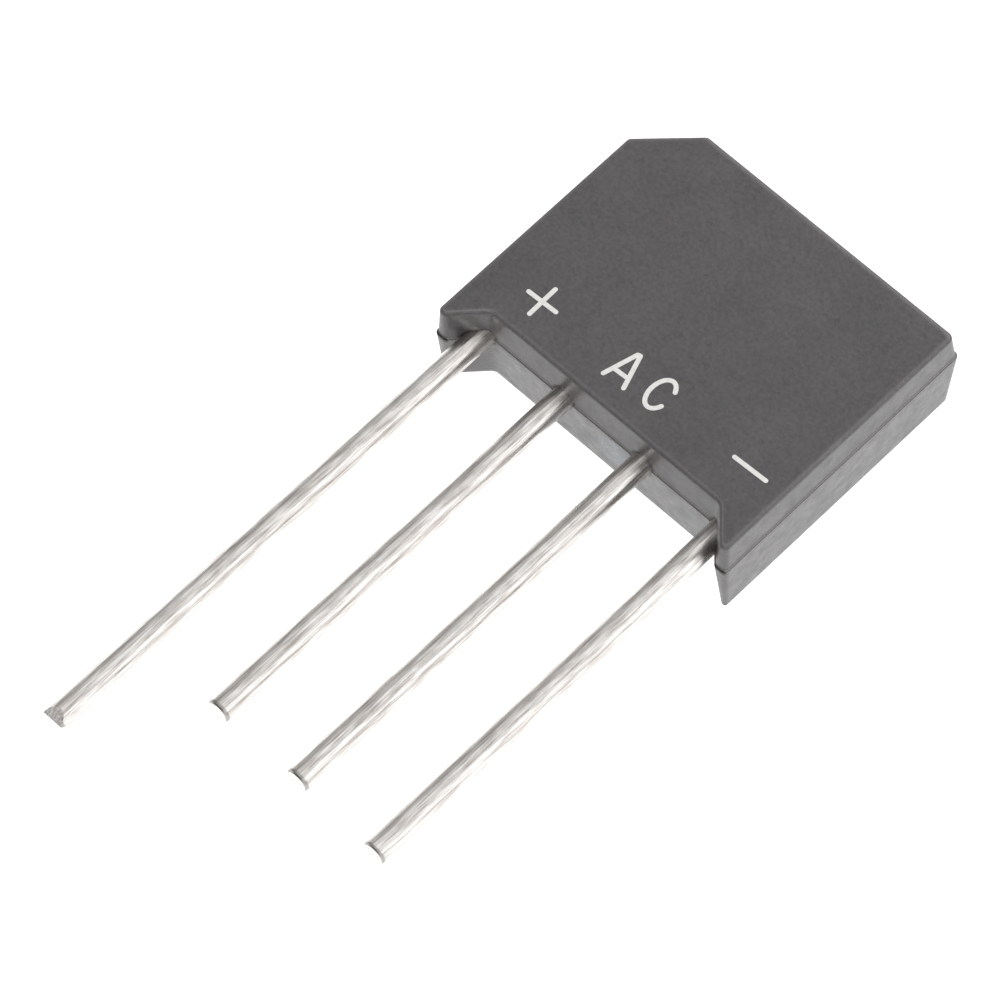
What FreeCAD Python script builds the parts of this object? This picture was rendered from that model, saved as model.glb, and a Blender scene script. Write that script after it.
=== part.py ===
# Bridge rectifier: a flat moulded body with four round wire leads in one row.
# Lengths are in millimetres and angles in degrees. The part lies on its back face.
# +Z points out of the marking face, +X runs from the positive to the negative lead,
# the leads point along -Y, and the origin is the centre of the back face.
import FreeCAD, Part
import math
import os

Vector = FreeCAD.Vector

# Diode chips, in two rows
chip_side = 2.2
chip_thickness = 0.28
lower_row = -1.6             # chips of the negative strap
upper_row = 3.2              # chips of the positive strap

# Leads: round copper wire, tinned, with the inner end pressed flat
lead_pitch = 5.08
lead_diameter = 1.27
positive_lead_length = 26.88  # from the feet to the tip
ac_1_lead_length = 21.28
ac_2_lead_length = 21.28
negative_lead_length = 21.48
tip_bevel = 0.07             # on the rim of a tip that was cut square
pinch_angle = 35.0           # slopes of the pinched positive tip, from the wire's axis
pinch_offset = 0.235         # the pinched tip's edge above the wire's axis
head_thickness = 0.5
head_margin = 0.15           # head past the sides of its chips
head_end_radius = 0.4
head_overrun = 0.35          # head past the strap that it is joined to
root_taper = 0.01            # how much the tin coat thins from the feet's ends up to the head
head_cover = 0.3             # plastic over the root before the head starts
shoulder_length = 1.2        # where the wire goes over into its flat head

# Straps and solder that join the chips to the leads
strap_margin = 0.1           # strap past the sides of its chips
strap_thickness = 0.4
strap_overrun = 0.25         # strap past the last chip's edge
joggle_run = 0.6             # length of the slope that lifts a strap to its lead
solder_thickness = 0.08
solder_margin = 0.12         # solder stays this far inside the edge of what it joins

# Moulded body, in plan, where the two mould halves meet
side_wall = 0.505            # from the outer leads' heads to the body's sides
body_height = 16.25
corner_cut = 2.83            # leg of the chamfer that marks the positive end
recess_depth = 1.6           # from the ends of the feet up to the recess floor
foot_end_width = 0.68        # flat end of each foot
ramp_angle = 47.0            # slope of each foot's inner wall, from the row of leads

# Moulded body, through its thickness
body_thickness = 6.15
parting_height = 3.98        # from the back face to the parting line
parting_step = 0.07          # ledge where the front half is set in from the back half
front_edge_radius = 0.13
back_edge_radius = 0.11

# Draft of the walls, which lets the body out of each mould half
front_side_angle = 1.6
front_top_angle = 9.4
front_foot_angle = 1.6
front_ramp_angle = 3.2
front_floor_angle = 2.1
back_side_angle = 2.7
back_top_angle = 2.7
back_foot_angle = 5.6
back_ramp_angle = 6.5
back_floor_angle = 6.8

# Upright edges of the body
front_corner_radius = 0.32
parting_corner_radius = 0.32
back_corner_radius = 0.4
foot_corner_radius = 0.25
foot_end_flat = 0.03         # least flat left on a foot's end between its corners
recess_corner_radius = 0.5
edge_share = 0.8             # a face's rounded edge, at most, as a share of its feet's corner radius

# Places that follow from the sizes above
positive_x = -1.5 * lead_pitch
ac_1_x = -0.5 * lead_pitch
ac_2_x = 0.5 * lead_pitch
negative_x = 1.5 * lead_pitch
lead_radius = lead_diameter / 2
root_radius = lead_radius - root_taper
head_width = chip_side + 2 * head_margin
strap_width = chip_side + 2 * strap_margin
body_width = negative_x - positive_x + head_width + 2 * side_wall
feet_end = -body_height / 2
head_start = feet_end + recess_depth + head_cover
head_back = parting_height - head_thickness / 2
joint_back = head_back - solder_thickness   # a solder joint's back, where a chip or a strap starts
chip_back = joint_back - chip_thickness
strap_front = chip_back - solder_thickness


def draft_inset(height, angle):
    return height * math.tan(math.radians(angle))


def plan_walls(side_inset, top_inset, foot_inset, ramp_inset, floor_inset):
    # Walls in plan, counterclockwise from the right side, as outward normal and distance
    half_width = body_width / 2
    half_height = body_height / 2
    half_right_angle = math.sqrt(0.5)
    ramp_x = math.sin(math.radians(ramp_angle))
    ramp_y = -math.cos(math.radians(ramp_angle))
    ramp_distance = -ramp_x * (half_width - foot_end_width) - ramp_y * half_height
    cut_distance = (half_width + half_height - corner_cut) * half_right_angle
    cut_inset = (side_inset + top_inset) / 2
    return [
        (1, 0, half_width - side_inset),
        (0, 1, half_height - top_inset),
        (-half_right_angle, half_right_angle, cut_distance - cut_inset),
        (-1, 0, half_width - side_inset),
        (0, -1, half_height - foot_inset),
        (ramp_x, ramp_y, ramp_distance - ramp_inset),
        (0, -1, half_height - recess_depth - floor_inset),
        (-ramp_x, ramp_y, ramp_distance - ramp_inset),
        (0, -1, half_height - foot_inset),
    ]


def wall_corner(wall, following):
    # Point where two neighbouring walls meet
    (a, b, distance), (c, d, next_distance) = wall, following
    turn = a * d - b * c
    x = (distance * d - next_distance * b) / turn
    y = (next_distance * a - distance * c) / turn
    return Vector(x, y, 0)


def plan_corners(walls):
    return [wall_corner(wall, after) for wall, after in zip(walls, walls[1:] + walls[:1])]


def foot_radius(corners):
    # A foot's right-angled corner and its ramp's corner share its flat end
    end_width = (corners[4] - corners[3]).Length
    both_tangents = 1 + math.tan(math.radians(ramp_angle / 2))
    return min(foot_corner_radius, (end_width - foot_end_flat) / both_tangents)


def plan_outline(corners, outer_radius, height):
    # Closed outline of straight walls with an arc in each corner
    foot = foot_radius(corners)
    recess = recess_corner_radius
    radii = [outer_radius, outer_radius, outer_radius, foot, foot, recess, recess, foot, foot]
    arcs = []
    for i, corner in enumerate(corners):
        arriving = (corner - corners[i - 1]).normalize()
        leaving = (corners[(i + 1) % len(corners)] - corner).normalize()
        half_turn = arriving.getAngle(leaving) / 2
        tangent_length = radii[i] * math.tan(half_turn)
        depth = radii[i] / math.cos(half_turn) - radii[i]
        inward = (leaving - arriving).normalize()
        start = corner - arriving * tangent_length
        middle = corner + inward * depth
        end = corner + leaving * tangent_length
        arcs.append((start, middle, end))
    edges = []
    for i, (start, middle, end) in enumerate(arcs):
        edges.append(Part.LineSegment(arcs[i - 1][2], start).toShape())
        edges.append(Part.Arc(start, middle, end).toShape())
    outline = Part.Wire(edges)
    outline.translate(Vector(0, 0, height))
    return outline


def edges_in_plane(shape, normal, distance):
    # Edges with all their ends in one plane
    tolerance = 1e-4
    found = []
    for edge in shape.Edges:
        ends = [vertex.Point.dot(normal) for vertex in edge.Vertexes]
        if all(abs(end - distance) < tolerance for end in ends):
            found.append(edge)
    return found


def body_half(rim_inset, face_insets, face_radius, face_height, edge_radius):
    # One mould half: drafted walls from the parting line to the flat face, whose edge is rounded
    rim_corners = plan_corners(plan_walls(*[rim_inset] * len(face_insets)))
    face_corners = plan_corners(plan_walls(*face_insets))
    rim = plan_outline(rim_corners, parting_corner_radius, parting_height)
    face = plan_outline(face_corners, face_radius, face_height)
    lower, upper = sorted([rim, face], key=lambda outline: outline.BoundBox.ZMin)
    half = Part.makeLoft([lower, upper], True, True)
    radius = min(edge_radius, edge_share * foot_radius(face_corners))
    return half.makeFillet(radius, edges_in_plane(half, Vector(0, 0, 1), face_height))


def molded_body(inserts):
    rise = body_thickness - parting_height
    front_angles = (front_side_angle, front_top_angle, front_foot_angle, front_ramp_angle, front_floor_angle)
    back_angles = (back_side_angle, back_top_angle, back_foot_angle, back_ramp_angle, back_floor_angle)
    front_insets = [parting_step + draft_inset(rise, angle) for angle in front_angles]
    back_insets = [draft_inset(parting_height, angle) for angle in back_angles]
    front = body_half(parting_step, front_insets, front_corner_radius, body_thickness, front_edge_radius)
    back = body_half(0, back_insets, back_corner_radius, 0, back_edge_radius)
    return front.fuse(back).removeSplitter().cut(inserts)


def pinch_cutter(x, tip, side):
    # What the pliers took off above (side 1) or below (side -1) the edge of a pinched tip
    reach = 2 * lead_diameter
    edge = parting_height + pinch_offset
    slope_end = edge + side * reach * math.tan(math.radians(pinch_angle))
    places = [(tip, edge), (tip + reach, slope_end), (tip - reach, slope_end), (tip - reach, edge)]
    points = [Vector(x - reach / 2, y, z) for y, z in places]
    return Part.Face(Part.makePolygon(points + points[:1])).extrude(Vector(reach, 0, 0))


def flat_head(x, head_end):
    # Pressed head: it leaves the round root flush, flares, and has round corners at its end
    half_root = math.sqrt(root_radius ** 2 - (head_thickness / 2) ** 2)
    half_head = head_width / 2
    flare_end = head_start + shoulder_length
    places = [(half_root, head_start), (half_head, flare_end), (half_head, head_end),
              (-half_head, head_end), (-half_head, flare_end), (-half_root, head_start)]
    points = [Vector(x + offset, y, head_back) for offset, y in places]
    head = Part.Face(Part.makePolygon(points + points[:1])).extrude(Vector(0, 0, head_thickness))
    end_edges = edges_in_plane(head, Vector(0, 1, 0), head_end)
    upright_edges = [edge for edge in end_edges if edge.BoundBox.ZLength > head_thickness / 2]
    return head.makeFillet(head_end_radius, upright_edges)


def lead(x, length, head_end, pinched):
    # Round wire from the tip to the feet's ends, then its root, its shoulder and the flat head
    along = Vector(0, 1, 0)
    tip = Vector(x, feet_end - length, parting_height)
    root_start = Vector(x, feet_end, parting_height)
    shoulder_start = Vector(x, head_start, parting_height)
    wire = Part.makeCylinder(lead_radius, length, tip, along)
    root = Part.makeCone(lead_radius, root_radius, head_start - feet_end, root_start, along)
    shoulder = Part.makeCone(root_radius, head_thickness / 2, shoulder_length, shoulder_start, along)
    whole = wire.fuse([root, shoulder, flat_head(x, head_end)]).removeSplitter()
    if pinched:
        return whole.cut([pinch_cutter(x, tip.y, side) for side in (1, -1)])
    return whole.makeChamfer(tip_bevel, edges_in_plane(whole, along, tip.y))


def leads():
    # Each head ends past the last row of chips that it serves
    lower_end = lower_row + strap_width / 2 + head_overrun
    upper_end = upper_row + strap_width / 2 + head_overrun
    return {
        "lead_positive": lead(positive_x, positive_lead_length, upper_end, True),
        "lead_ac_1": lead(ac_1_x, ac_1_lead_length, upper_end, False),
        "lead_ac_2": lead(ac_2_x, ac_2_lead_length, upper_end, False),
        "lead_negative": lead(negative_x, negative_lead_length, lower_end, False),
    }


def strap(row, lead_x, last_chip_x):
    # Copper strap behind one row of chips, joggled up to its lead's head at one end
    toward = 1 if last_chip_x > lead_x else -1
    pad_start = lead_x - toward * head_width / 2
    pad_end = lead_x + toward * head_width / 2
    slope_end = pad_end + toward * joggle_run
    far_end = last_chip_x + toward * (chip_side / 2 + strap_overrun)
    front_line = [(pad_start, joint_back), (pad_end, joint_back),
                  (slope_end, strap_front), (far_end, strap_front)]
    back_line = [(x, z - strap_thickness) for x, z in reversed(front_line)]
    profile = [Vector(x, row - strap_width / 2, z) for x, z in front_line + back_line]
    face = Part.Face(Part.makePolygon(profile + profile[:1]))
    return face.extrude(Vector(0, strap_width, 0))


def straps():
    return {
        "strap_positive": strap(upper_row, positive_x, ac_2_x),
        "strap_negative": strap(lower_row, negative_x, ac_1_x),
    }


def square_layer(x, y, side, back, front):
    return Part.makeBox(side, side, front - back, Vector(x - side / 2, y - side / 2, back))


def chips_and_solder():
    # A chip behind each AC head in each row, soldered to the head and to the strap
    pieces = {}
    solder_side = chip_side - 2 * solder_margin
    places = [(ac_1_x, lower_row), (ac_2_x, lower_row), (ac_1_x, upper_row), (ac_2_x, upper_row)]
    for number, (x, y) in enumerate(places, 1):
        pieces["diode_chip_%d" % number] = square_layer(x, y, chip_side, chip_back, joint_back)
        pieces["chip_solder_front_%d" % number] = square_layer(x, y, solder_side, joint_back, head_back)
        pieces["chip_solder_back_%d" % number] = square_layer(x, y, solder_side, strap_front, chip_back)
    return pieces


def strap_solder():
    # The joint between each strap's raised end and its lead's head
    side = min(strap_width, head_width) - 2 * solder_margin
    return {
        "strap_solder_positive": square_layer(positive_x, upper_row, side, joint_back, head_back),
        "strap_solder_negative": square_layer(negative_x, lower_row, side, joint_back, head_back),
    }


def main():
    os.makedirs("parts", exist_ok=True)
    inner_pieces = {**leads(), **straps(), **chips_and_solder(), **strap_solder()}
    pieces = {"molded_body": molded_body(list(inner_pieces.values())), **inner_pieces}
    for name, shape in pieces.items():
        shape.exportStep("parts/%s.step" % name)
        print(name, "solids", len(shape.Solids), "valid", shape.isValid(), "volume", round(shape.Volume, 3))


main()
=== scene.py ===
# A flat moulded bridge rectifier with four round wire leads in one row. It lies on its back
# on a sheet of lit white acrylic, marking face up. Lengths are in metres, in the part's frame:
# +Z out of the marking face, +X from the positive to the negative lead, the leads along -Y.
import math

import bpy
from mathutils import Matrix, Vector


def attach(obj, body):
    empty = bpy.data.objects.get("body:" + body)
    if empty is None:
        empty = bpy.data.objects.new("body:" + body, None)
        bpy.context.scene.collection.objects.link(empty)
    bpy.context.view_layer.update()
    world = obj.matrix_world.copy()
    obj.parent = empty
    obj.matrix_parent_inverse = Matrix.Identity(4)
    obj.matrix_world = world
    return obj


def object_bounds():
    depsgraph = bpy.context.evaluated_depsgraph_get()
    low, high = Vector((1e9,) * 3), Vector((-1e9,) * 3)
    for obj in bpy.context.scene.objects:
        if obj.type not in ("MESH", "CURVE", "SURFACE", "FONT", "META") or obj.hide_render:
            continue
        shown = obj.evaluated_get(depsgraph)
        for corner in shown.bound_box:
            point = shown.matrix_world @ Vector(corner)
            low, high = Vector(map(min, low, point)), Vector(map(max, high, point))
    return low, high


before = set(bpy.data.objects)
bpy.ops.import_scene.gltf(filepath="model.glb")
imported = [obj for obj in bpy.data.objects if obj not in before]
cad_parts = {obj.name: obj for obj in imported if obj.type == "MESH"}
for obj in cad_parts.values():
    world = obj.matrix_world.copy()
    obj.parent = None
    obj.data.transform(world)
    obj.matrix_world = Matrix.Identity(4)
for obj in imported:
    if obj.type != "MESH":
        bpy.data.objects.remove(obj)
cad_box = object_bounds()
mm = 0.001

# Camera: a long lens from far off, beside the leads and high above the marking face,
# so that edges that run side by side stay almost parallel.
camera_place = Vector((103.13, -120.264, 280.59)) * mm
camera_azimuth = math.radians(43.9787)
camera_elevation = math.radians(61.5640)
camera_roll = math.radians(-0.088)
camera_data = bpy.data.cameras.new("camera")
camera_data.sensor_width = 36
camera_data.lens = 243.22
camera_data.clip_start = 10 * mm
camera = bpy.data.objects.new("camera", camera_data)
camera.matrix_world = (
    Matrix.Translation(camera_place)
    @ Matrix.Rotation(camera_azimuth, 4, "Z")
    @ Matrix.Rotation(math.radians(90) - camera_elevation, 4, "X")
    @ Matrix.Rotation(camera_roll, 4, "Z")
)
bpy.context.scene.collection.objects.link(camera)
bpy.context.scene.camera = camera
bpy.context.scene.view_settings.view_transform = "Standard"

# Studio: a white room with softboxes overhead, on the right, behind the camera and behind the part.
# A dark curtain hangs on the side that the leads point to, and the wall beyond the positive end is
# dimmer than the rest.
room_brightness = 0.82
curtain_brightness = 0.16
curtain_direction = Vector((-0.33, -0.85, 0.3)).normalized()
curtain_edge, curtain_middle = 0.55, 0.95     # cosines of the angle from the curtain's middle
wall_share = 0.65                             # the wall's brightness, as a share of the room's
wall_direction = Vector((-0.94, 0.34, 0.1)).normalized()
wall_edge, wall_middle = 0.5, 0.95            # cosines of the angle from the wall's middle


def add(tree, kind, inputs=None, **settings):
    # Adds a node to the tree. Each input gets a value, or a link from another node's output.
    node = tree.nodes.new(kind)
    for name, value in settings.items():
        setattr(node, name, value)
    for name, value in (inputs or {}).items():
        if isinstance(value, bpy.types.NodeSocket):
            tree.links.new(value, node.inputs[name])
        else:
            node.inputs[name].default_value = value
    return node


world = bpy.data.worlds.new("white_room")
bpy.context.scene.world = world
world.use_nodes = True
tree = world.node_tree
tree.nodes.clear()
direction = add(tree, "ShaderNodeTexCoord").outputs["Generated"]
toward_curtain = add(
    tree,
    "ShaderNodeVectorMath",
    {0: direction, 1: curtain_direction},
    operation="DOT_PRODUCT",
)
brightness = add(
    tree,
    "ShaderNodeMapRange",
    {"Value": toward_curtain.outputs["Value"], "From Min": curtain_edge, "From Max": curtain_middle,
     "To Min": room_brightness, "To Max": curtain_brightness},
    interpolation_type="SMOOTHSTEP",
)
toward_wall = add(
    tree,
    "ShaderNodeVectorMath",
    {0: direction, 1: wall_direction},
    operation="DOT_PRODUCT",
)
dimmed = add(
    tree,
    "ShaderNodeMapRange",
    {"Value": toward_wall.outputs["Value"], "From Min": wall_edge, "From Max": wall_middle,
     "To Min": 1.0, "To Max": wall_share},
    interpolation_type="SMOOTHSTEP",
)
strength = add(
    tree,
    "ShaderNodeMath",
    {0: brightness.outputs["Result"], 1: dimmed.outputs["Result"]},
    operation="MULTIPLY",
)
room = add(tree, "ShaderNodeBackground", {"Strength": strength.outputs["Value"]})
add(tree, "ShaderNodeOutputWorld", {"Surface": room.outputs["Background"]})


def softbox(name, place, width, height, radiance):
    # A square-cornered softbox that faces the part
    light = bpy.data.lights.new(name, "AREA")
    light.shape = "RECTANGLE"
    light.size, light.size_y = width, height
    light.energy = math.pi * radiance * width * height
    lamp = bpy.data.objects.new(name, light)
    lamp.location = place
    lamp.rotation_euler = Vector(place).to_track_quat("Z", "Y").to_euler()
    bpy.context.scene.collection.objects.link(lamp)


softbox("softbox_overhead", (-0.15, 0.0, 0.54), 0.27, 0.60, 0.3)
softbox("softbox_right", (0.46, 0.22, 0.3), 0.42, 0.42, 0.8)
softbox("softbox_camera_side", (0.04, -0.22, 0.52), 0.24, 0.30, 2.2)
softbox("softbox_behind", (0.0, 0.42, 0.42), 0.50, 0.30, 2.0)

# Floor: a wide sheet of opal acrylic, lit from below, so that the part casts no shadow on it.
# It shows as an even white, a little brighter than the room.
floor_half = 4.0
floor_glow = 1.15
floor_white = 0.3
floor_roughness = 0.6
floor_height = -0.02 * mm          # just clear of the body's back, which lies at zero


def new_material(name):
    # A material with no nodes yet
    material = bpy.data.materials.new(name)
    material.use_nodes = True
    material.node_tree.nodes.clear()
    return material


bpy.ops.mesh.primitive_plane_add(size=2 * floor_half, location=(0, 0, floor_height))
floor = bpy.context.object
floor.name = "floor"
opal_acrylic = new_material("opal_acrylic_lit_from_below")
tree = opal_acrylic.node_tree
acrylic = add(
    tree,
    "ShaderNodeBsdfPrincipled",
    {"Base Color": (floor_white, floor_white, floor_white, 1), "Roughness": floor_roughness,
     "Specular IOR Level": 0.0, "Emission Color": (1, 1, 1, 1), "Emission Strength": floor_glow},
)
add(tree, "ShaderNodeOutputMaterial", {"Surface": acrylic.outputs["BSDF"]})
floor.data.materials.append(opal_acrylic)

# Body: epoxy moulding compound, black resin filled with silica, moulded around the leads in two
# halves. The mould was spark-eroded, so the skin is matt with a fine grain and soft edges. The
# solid stays as it was modelled, and only gets its material.
resin_dark, resin_pale = "#525152", "#6A6566"         # the resin's slow mottle
mottle_width = 3.5 * mm
speckle_dark, speckle_pale = "#AAAAAA", "#FFFFFF"     # the silica's grain, which tints the resin
grain_width = 0.2 * mm
grain_strength, grain_depth = 0.35, 0.02 * mm
resin_ior = 1.55
resin_gloss = 0.5
satin_roughness, matt_roughness = 0.25, 0.39
matting_width = 0.6 * mm
edge_softness = 0.4 * mm                              # the radius that rounds an edge to the eye
edge_rays = 8
noise_low, noise_high = 0.3, 0.7                      # nearly all of a noise lies between these

parting_height = 3.98 * mm
parting_light_colour = "#A5A2A1"                              # painted light all along the parting line, over the shade in the step between the halves
parting_light_width = 0.1 * mm
parting_shade_colour = "#62605E"                              # painted shade in the parting line on the feet's ends, darker and duller than the skin
parting_shade_gloss = 0.1
parting_shade_width = 0.36 * mm
parting_shade_limit = -8.0 * mm                               # the feet's ends have a smaller Y than this

film_colour = "#5F6D76"                               # a bluish film beside the second AC lead
film_strength = 0.45
film_centre = Vector((1.2, -6.5, 2.3)) * mm
film_radii = Vector((1.9, 0.8, 1.9)) * mm
film_fraying = 1.1 * mm                               # the width of the noise in the film's edge
film_full, film_gone = 1.1, 1.5                       # distance in radii, with the noise added

edge_highlight_colour = "#8E8B8A"                             # painted highlight on the marking face beside its rounded edges
edge_highlight_strength = 0.5
edge_highlight_start, edge_highlight_full = 0.995, 0.96               # cosines of how far an edge's normal turns
face_height = 6.1 * mm                                # only what is higher gets the painted highlight


def linear(hex_colour):
    # The linear colour that an sRGB hex colour such as "#4A494A" stands for
    shares = [int(hex_colour[i:i + 2], 16) / 255 for i in (1, 3, 5)]
    levels = [share / 12.92 if share <= 0.04045 else ((share + 0.055) / 1.055) ** 2.4 for share in shares]
    return levels + [1]


# To the eye it is a dark, slightly warm grey, with a soft sheen where it mirrors the room.
moulded_epoxy = new_material("moulded_epoxy_spark_eroded")
tree = moulded_epoxy.node_tree
place = add(tree, "ShaderNodeTexCoord").outputs["Object"]
mottle = add(tree, "ShaderNodeTexNoise", {"Vector": place, "Scale": 1 / mottle_width, "Detail": 3.0})
grain = add(tree, "ShaderNodeTexNoise", {"Vector": place, "Scale": 1 / grain_width, "Detail": 2.0})
resin = add(
    tree,
    "ShaderNodeMix",
    {"Factor": mottle.outputs["Fac"], "A": linear(resin_dark), "B": linear(resin_pale)},
    data_type="RGBA",
)
speckled = add(
    tree,
    "ShaderNodeMix",
    {"Factor": grain.outputs["Fac"], "A": linear(speckle_dark), "B": linear(speckle_pale)},
    data_type="RGBA",
)
moulded = add(
    tree,
    "ShaderNodeMix",
    {"Factor": 1.0, "A": resin.outputs["Result"], "B": speckled.outputs["Result"]},
    data_type="RGBA",
    blend_type="MULTIPLY",
)
axes = add(tree, "ShaderNodeSeparateXYZ", {"Vector": place})
off_parting = add(
    tree,
    "ShaderNodeMath",
    {0: axes.outputs["Z"], 1: parting_height},
    operation="SUBTRACT",
)
distance = add(tree, "ShaderNodeMath", {0: off_parting.outputs["Value"]}, operation="ABSOLUTE")
# Painted light: a paler band along the parting line lifts the shade in the step between the mould's
# halves
parting_light = add(
    tree,
    "ShaderNodeMapRange",
    {"Value": distance.outputs["Value"], "From Min": parting_light_width / 2, "From Max": parting_light_width,
     "To Min": 1.0, "To Max": 0.0},
)
with_parting_light = add(
    tree,
    "ShaderNodeMix",
    {"Factor": parting_light.outputs["Result"], "A": moulded.outputs["Result"], "B": linear(parting_light_colour)},
    data_type="RGBA",
)
# Painted shade: on the feet's ends a wider band along the parting line turns darker and less glossy
near_parting = add(
    tree,
    "ShaderNodeMapRange",
    {"Value": distance.outputs["Value"], "From Min": parting_shade_width / 2, "From Max": parting_shade_width,
     "To Min": 1.0, "To Max": 0.0},
)
on_feet_ends = add(
    tree,
    "ShaderNodeMath",
    {0: axes.outputs["Y"], 1: parting_shade_limit},
    operation="LESS_THAN",
)
parting_shade = add(
    tree,
    "ShaderNodeMath",
    {0: near_parting.outputs["Result"], 1: on_feet_ends.outputs["Value"]},
    operation="MULTIPLY",
)
with_parting_shade = add(
    tree,
    "ShaderNodeMix",
    {"Factor": parting_shade.outputs["Value"], "A": with_parting_light.outputs["Result"], "B": linear(parting_shade_colour)},
    data_type="RGBA",
)
from_film = add(tree, "ShaderNodeVectorMath", {0: place, 1: film_centre}, operation="SUBTRACT")
in_radii = add(
    tree,
    "ShaderNodeVectorMath",
    {0: from_film.outputs["Vector"], 1: film_radii},
    operation="DIVIDE",
)
film_reach = add(tree, "ShaderNodeVectorMath", {0: in_radii.outputs["Vector"]}, operation="LENGTH")
frayed = add(tree, "ShaderNodeTexNoise", {"Vector": place, "Scale": 1 / film_fraying, "Detail": 3.0})
film_limit = add(
    tree,
    "ShaderNodeMath",
    {0: film_reach.outputs["Value"], 1: frayed.outputs["Fac"]},
    operation="ADD",
)
residue = add(
    tree,
    "ShaderNodeMapRange",
    {"Value": film_limit.outputs["Value"], "From Min": film_full, "From Max": film_gone,
     "To Min": film_strength, "To Max": 0.0},
)
with_residue = add(
    tree,
    "ShaderNodeMix",
    {"Factor": residue.outputs["Result"], "A": with_parting_shade.outputs["Result"], "B": linear(film_colour)},
    data_type="RGBA",
)
gloss = add(
    tree,
    "ShaderNodeMapRange",
    {"Value": parting_shade.outputs["Value"], "From Min": 0.0, "From Max": 1.0,
     "To Min": resin_gloss, "To Max": parting_shade_gloss},
)
matting = add(tree, "ShaderNodeTexNoise", {"Vector": place, "Scale": 1 / matting_width, "Detail": 2.0})
mattness = add(
    tree,
    "ShaderNodeMapRange",
    {"Value": matting.outputs["Fac"], "From Min": noise_low, "From Max": noise_high,
     "To Min": satin_roughness, "To Max": matt_roughness},
)
soft_edges = add(tree, "ShaderNodeBevel", {"Radius": edge_softness}, samples=edge_rays)
true_normal = add(tree, "ShaderNodeNewGeometry").outputs["True Normal"]
agreement = add(
    tree,
    "ShaderNodeVectorMath",
    {0: soft_edges.outputs["Normal"], 1: true_normal},
    operation="DOT_PRODUCT",
)
# Painted highlight: the marking face turns paler where it starts to round over into its edges
near_edge = add(
    tree,
    "ShaderNodeMapRange",
    {"Value": agreement.outputs["Value"], "From Min": edge_highlight_start, "From Max": edge_highlight_full,
     "To Min": 0.0, "To Max": edge_highlight_strength},
)
on_face = add(
    tree,
    "ShaderNodeMath",
    {0: axes.outputs["Z"], 1: face_height},
    operation="GREATER_THAN",
)
edge_highlight = add(
    tree,
    "ShaderNodeMath",
    {0: near_edge.outputs["Result"], 1: on_face.outputs["Value"]},
    operation="MULTIPLY",
)
colour = add(
    tree,
    "ShaderNodeMix",
    {"Factor": edge_highlight.outputs["Value"], "A": with_residue.outputs["Result"], "B": linear(edge_highlight_colour)},
    data_type="RGBA",
)
relief = add(
    tree,
    "ShaderNodeBump",
    {"Height": grain.outputs["Fac"], "Strength": grain_strength, "Distance": grain_depth,
     "Normal": soft_edges.outputs["Normal"]},
)
skin = add(
    tree,
    "ShaderNodeBsdfPrincipled",
    {"Base Color": colour.outputs["Result"], "Roughness": mattness.outputs["Result"], "IOR": resin_ior,
     "Specular IOR Level": gloss.outputs["Result"], "Normal": relief.outputs["Normal"]},
)
add(tree, "ShaderNodeOutputMaterial", {"Surface": skin.outputs["BSDF"]})
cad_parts["molded_body"].material_slots[0].material = moulded_epoxy

# Polarity marks: white two-part ink, printed on the marking face and cured. Each mark is a
# closed film of strokes with round ends, and stands a little proud of the face.
ink_width = 0.235               # millimetres, as are the marks' places
ink_film = 0.012
ink_sunk = 0.006                # the film's underside, below the skin's grain
cap_steps = 8
marking_face = cad_box[1][2] / mm
plus_left, plus_right = Vector((-6.82, -4.36)), Vector((-5.12, -4.29))
plus_bottom, plus_top = Vector((-5.955, -5.21)), Vector((-5.99, -3.41))
minus_start, minus_end = Vector((6.20, -4.155)), Vector((8.10, -4.075))
letter_a_left, letter_a_right = Vector((-1.26, -5.135)), Vector((-0.02, -5.065))
letter_a_top_left, letter_a_top_right = Vector((-0.77, -3.30)), Vector((-0.63, -3.27))
letter_a_bar = 0.29             # the crossbar's height, as a share of the letter's
letter_c_centre, letter_c_half_width, letter_c_half_height = Vector((1.44, -4.105)), 0.54, 0.905
letter_c_start, letter_c_end = 36, 331     # angles of its two ends, in degrees
letter_c_steps = 28
ink_thin, ink_thick = "#D8D6D4", "#FAF9F6"      # where the ink covers less and more
ink_thin_roughness, ink_thick_roughness = 0.55, 0.38
ink_ior = 1.5
coverage_width = 0.2 * mm
coverage_strength, coverage_depth = 0.3, 0.01 * mm


def ink_stroke(name, line):
    # A film of ink along a line of points, of even width, with round ends
    half = ink_width / 2
    left, right = [], []
    for i, point in enumerate(line):
        along = (line[min(i + 1, len(line) - 1)] - line[max(i - 1, 0)]).normalized()
        side = Vector((-along.y, along.x)) * half
        left.append(point + side)
        right.append(point - side)
    outline = list(right)
    for end, edge in ((line[-1], right[-1]), (line[0], left[0])):
        for step in range(1, cap_steps):
            turned = Matrix.Rotation(math.pi * step / cap_steps, 2) @ (edge - end)
            outline.append(end + turned)
        if end is line[-1]:
            outline += reversed(left)
    count = len(outline)
    levels = (marking_face - ink_sunk, marking_face + ink_film)
    vertices = [(point.x, point.y, level) for level in levels for point in outline]
    sides = [(i, (i + 1) % count, (i + 1) % count + count, i + count) for i in range(count)]
    faces = [tuple(reversed(range(count))), tuple(range(count, 2 * count))] + sides
    mesh = bpy.data.meshes.new(name)
    mesh.from_pydata(vertices, [], faces)
    stroke = bpy.data.objects.new(name, mesh)
    bpy.context.scene.collection.objects.link(stroke)
    return stroke


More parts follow.
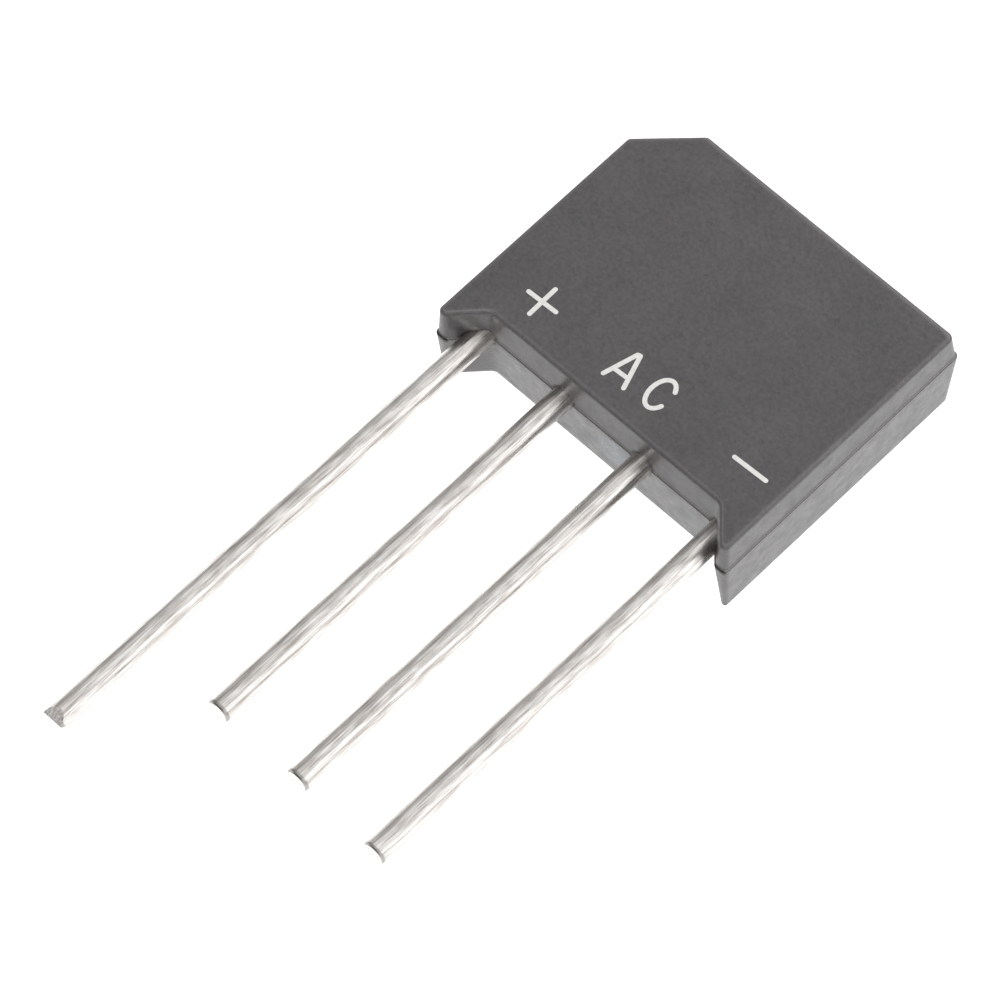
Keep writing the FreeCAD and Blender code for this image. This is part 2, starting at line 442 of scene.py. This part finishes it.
def joined_mark(name, lines):
    # One closed film from strokes that cross, at its real size and place
    mark = ink_stroke(name, lines[0])
    for i, line in enumerate(lines[1:], start=1):
        other = ink_stroke("%s_stroke_%d" % (name, i), line)
        union = mark.modifiers.new("union", "BOOLEAN")
        union.operation = "UNION"
        union.solver = "EXACT"
        union.object = other
        bpy.context.view_layer.objects.active = mark
        bpy.ops.object.modifier_apply(modifier=union.name)
        bpy.data.objects.remove(other)
    mark.data.transform(Matrix.Scale(mm, 4))
    mark.data.materials.append(printing_ink)
    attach(mark, "root")


# To the eye it is a chalky white that turns a little greyer and duller where it covers less.
printing_ink = new_material("white_epoxy_ink")
tree = printing_ink.node_tree
place = add(tree, "ShaderNodeTexCoord").outputs["Object"]
coverage = add(tree, "ShaderNodeTexNoise", {"Vector": place, "Scale": 1 / coverage_width, "Detail": 3.0})
pigment = add(
    tree,
    "ShaderNodeMix",
    {"Factor": coverage.outputs["Fac"], "A": linear(ink_thin), "B": linear(ink_thick)},
    data_type="RGBA",
)
cured = add(
    tree,
    "ShaderNodeMapRange",
    {"Value": coverage.outputs["Fac"], "From Min": noise_low, "From Max": noise_high,
     "To Min": ink_thin_roughness, "To Max": ink_thick_roughness},
)
dried = add(
    tree,
    "ShaderNodeBump",
    {"Height": coverage.outputs["Fac"], "Strength": coverage_strength, "Distance": coverage_depth},
)
ink = add(
    tree,
    "ShaderNodeBsdfPrincipled",
    {"Base Color": pigment.outputs["Result"], "Roughness": cured.outputs["Result"], "IOR": ink_ior,
     "Normal": dried.outputs["Normal"]},
)
add(tree, "ShaderNodeOutputMaterial", {"Surface": ink.outputs["BSDF"]})

joined_mark("mark_plus", [[plus_left, plus_right], [plus_bottom, plus_top]])
letter_a_bar_left = letter_a_left.lerp(letter_a_top_left, letter_a_bar)
letter_a_bar_right = letter_a_right.lerp(letter_a_top_right, letter_a_bar)
letter_a = [
    [letter_a_left, letter_a_top_left],
    [letter_a_top_left, letter_a_top_right],
    [letter_a_top_right, letter_a_right],
    [letter_a_bar_left, letter_a_bar_right],
]
joined_mark("mark_letter_a", letter_a)
letter_c = []
for step in range(letter_c_steps + 1):
    angle = math.radians(letter_c_start + (letter_c_end - letter_c_start) * step / letter_c_steps)
    offset = Vector((letter_c_half_width * math.cos(angle), letter_c_half_height * math.sin(angle)))
    letter_c.append(letter_c_centre + offset)
joined_mark("mark_letter_c", [letter_c])
joined_mark("mark_minus", [[minus_start, minus_end]])

# Leads: round copper wire, hot-dipped in tin and drawn straight. The cutter left the wire's rim
# dull and grey at each tip, and pliers tore the two slopes of the positive tip matt. The solids
# stay as they were modelled, and only get their material.
tin_dark, tin_bright = "#BDB6B0", "#FAF8F5"
tin_smooth, tin_dull = 0.22, 0.36                # roughness
patch_width = 0.9 * mm                           # of the patches of smoother and duller tin
streak_size = Vector((0.08, 1.6, 0.08)) * mm     # where the tin ran, and where it was handled
streak_low, streak_high = 0.32, 0.66             # the noise's values that give dark and bright tin
streak_strength, streak_depth = 0.3, 0.01 * mm
wave_size = Vector((0.5, 4.0, 0.5)) * mm         # the slow waves of the dipped coat
wave_strength, wave_depth = 1.0, 0.025 * mm
rim_colour = "#A8A5A2"
rim_share = 0.007               # the dull rim's width, as a share of the lead's length
rim_full_share = 0.6            # and the share of that width in which it is at its full strength
end_facing = -0.9               # the Y of a face's normal, below which it is the cut end itself
pinch_slope = math.radians(35)  # of the pinched tip's two slopes, from the wire's axis
slope_facing = -math.sin(pinch_slope)           # the Y of their normals
slope_tolerance = 0.03
torn_roughness = 0.6

# To the eye it is a bright, slightly warm and wavy metal, with fine streaks along the wire.
drawn_tin = new_material("hot_dipped_tin_on_copper")
tree = drawn_tin.node_tree
coordinates = add(tree, "ShaderNodeTexCoord")
place = coordinates.outputs["Object"]
stretched = add(tree, "ShaderNodeVectorMath", {0: place, 1: streak_size}, operation="DIVIDE")
streaks = add(
    tree,
    "ShaderNodeTexNoise",
    {"Vector": stretched.outputs["Vector"], "Scale": 1.0, "Detail": 3.0},
)
patches = add(tree, "ShaderNodeTexNoise", {"Vector": place, "Scale": 1 / patch_width, "Detail": 2.0})
streaked = add(
    tree,
    "ShaderNodeMapRange",
    {"Value": streaks.outputs["Fac"], "From Min": streak_low, "From Max": streak_high},
)
clean_tin = add(
    tree,
    "ShaderNodeMix",
    {"Factor": streaked.outputs["Result"], "A": linear(tin_dark), "B": linear(tin_bright)},
    data_type="RGBA",
)
from_tip = add(tree, "ShaderNodeSeparateXYZ", {"Vector": coordinates.outputs["Generated"]})
beside_tip = add(
    tree,
    "ShaderNodeMapRange",
    {"Value": from_tip.outputs["Y"], "From Min": rim_full_share * rim_share, "From Max": rim_share,
     "To Min": 1.0, "To Max": 0.0},
)
true_normal = add(tree, "ShaderNodeNewGeometry").outputs["True Normal"]
facing = add(tree, "ShaderNodeSeparateXYZ", {"Vector": true_normal})
off_cut = add(
    tree,
    "ShaderNodeMath",
    {0: facing.outputs["Y"], 1: end_facing},
    operation="GREATER_THAN",
)
torn = add(
    tree,
    "ShaderNodeMath",
    {0: facing.outputs["Y"], 1: slope_facing, 2: slope_tolerance},
    operation="COMPARE",
)
off_slopes = add(
    tree,
    "ShaderNodeMath",
    {0: beside_tip.outputs["Result"], 1: torn.outputs["Value"]},
    operation="SUBTRACT",
    use_clamp=True,
)
rim = add(
    tree,
    "ShaderNodeMath",
    {0: off_slopes.outputs["Value"], 1: off_cut.outputs["Value"]},
    operation="MULTIPLY",
)
tin_colour = add(
    tree,
    "ShaderNodeMix",
    {"Factor": rim.outputs["Value"], "A": clean_tin.outputs["Result"], "B": linear(rim_colour)},
    data_type="RGBA",
)
polish = add(
    tree,
    "ShaderNodeMapRange",
    {"Value": patches.outputs["Fac"], "From Min": noise_low, "From Max": noise_high,
     "To Min": tin_smooth, "To Max": tin_dull},
)
torn_finish = add(
    tree,
    "ShaderNodeMath",
    {0: torn.outputs["Value"], 1: torn_roughness},
    operation="MULTIPLY",
)
finish = add(
    tree,
    "ShaderNodeMath",
    {0: polish.outputs["Result"], 1: torn_finish.outputs["Value"]},
    operation="MAXIMUM",
)
wavy = add(tree, "ShaderNodeVectorMath", {0: place, 1: wave_size}, operation="DIVIDE")
waves = add(
    tree,
    "ShaderNodeTexNoise",
    {"Vector": wavy.outputs["Vector"], "Scale": 1.0, "Detail": 2.0},
)
swell = add(
    tree,
    "ShaderNodeBump",
    {"Height": waves.outputs["Fac"], "Strength": wave_strength, "Distance": wave_depth},
)
ripple = add(
    tree,
    "ShaderNodeBump",
    {"Height": streaks.outputs["Fac"], "Strength": streak_strength, "Distance": streak_depth,
     "Normal": swell.outputs["Normal"]},
)
tin = add(
    tree,
    "ShaderNodeBsdfPrincipled",
    {"Base Color": tin_colour.outputs["Result"], "Metallic": 1.0, "Roughness": finish.outputs["Value"],
     "Normal": ripple.outputs["Normal"]},
)
add(tree, "ShaderNodeOutputMaterial", {"Surface": tin.outputs["BSDF"]})
for name in ("lead_positive", "lead_ac_1", "lead_ac_2", "lead_negative"):
    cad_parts[name].material_slots[0].material = drawn_tin


# Straps: bare copper strip, rolled, punched and bent up at one end. They are sealed inside the
# body. The copper is satin, with long fine lines from the rolling.
def patterned_metal(name, pattern_size, detail, dark, pale, dull, smooth, strength, depth):
    # A bare metal. One noise, stretched to the pattern's size along each axis, sets its colour
    # from dark to pale, its roughness from dull to smooth, and a relief of that strength and depth.
    material = new_material(name)
    tree = material.node_tree
    place = add(tree, "ShaderNodeTexCoord").outputs["Object"]
    sized = add(tree, "ShaderNodeVectorMath", {0: place, 1: pattern_size}, operation="DIVIDE")
    pattern = add(
        tree,
        "ShaderNodeTexNoise",
        {"Vector": sized.outputs["Vector"], "Scale": 1.0, "Detail": detail},
    )
    tint = add(
        tree,
        "ShaderNodeMix",
        {"Factor": pattern.outputs["Fac"], "A": linear(dark), "B": linear(pale)},
        data_type="RGBA",
    )
    polish = add(
        tree,
        "ShaderNodeMapRange",
        {"Value": pattern.outputs["Fac"], "From Min": noise_low, "From Max": noise_high,
         "To Min": dull, "To Max": smooth},
    )
    relief = add(
        tree,
        "ShaderNodeBump",
        {"Height": pattern.outputs["Fac"], "Strength": strength, "Distance": depth},
    )
    metal = add(
        tree,
        "ShaderNodeBsdfPrincipled",
        {"Base Color": tint.outputs["Result"], "Metallic": 1.0, "Roughness": polish.outputs["Result"],
         "Normal": relief.outputs["Normal"]},
    )
    add(tree, "ShaderNodeOutputMaterial", {"Surface": metal.outputs["BSDF"]})
    return material


rolled_copper = patterned_metal(
    "rolled_bare_copper",
    pattern_size=Vector((3, 0.05, 0.05)) * mm,
    detail=2.0,
    dark="#B87355",
    pale="#D99A7B",
    dull=0.42,
    smooth=0.28,
    strength=0.3,
    depth=0.005 * mm,
)
for name in ("strap_positive", "strap_negative"):
    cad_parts[name].material_slots[0].material = rolled_copper

# Diode chips: squares sawn from a wafer of silicon, with metal-coated faces. They are dark grey
# and satin, with fine marks from the saw.
sawn_silicon = patterned_metal(
    "sawn_silicon",
    pattern_size=Vector((0.15, 0.15, 0.15)) * mm,
    detail=2.0,
    dark="#4E5054",
    pale="#63666B",
    dull=0.5,
    smooth=0.34,
    strength=0.3,
    depth=0.005 * mm,
)
for name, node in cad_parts.items():
    if name.startswith("diode_chip"):
        node.material_slots[0].material = sawn_silicon

# Solder: thin layers of high-lead solder, reflowed between the chips, straps and leads. It is a
# pale grey, frosted by its crystals.
reflowed_solder = patterned_metal(
    "reflowed_solder",
    pattern_size=Vector((0.2, 0.2, 0.2)) * mm,
    detail=3.0,
    dark="#8C8D90",
    pale="#B4B5B8",
    dull=0.5,
    smooth=0.34,
    strength=0.4,
    depth=0.01 * mm,
)
for name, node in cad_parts.items():
    if "_solder_" in name:
        node.material_slots[0].material = reflowed_solder
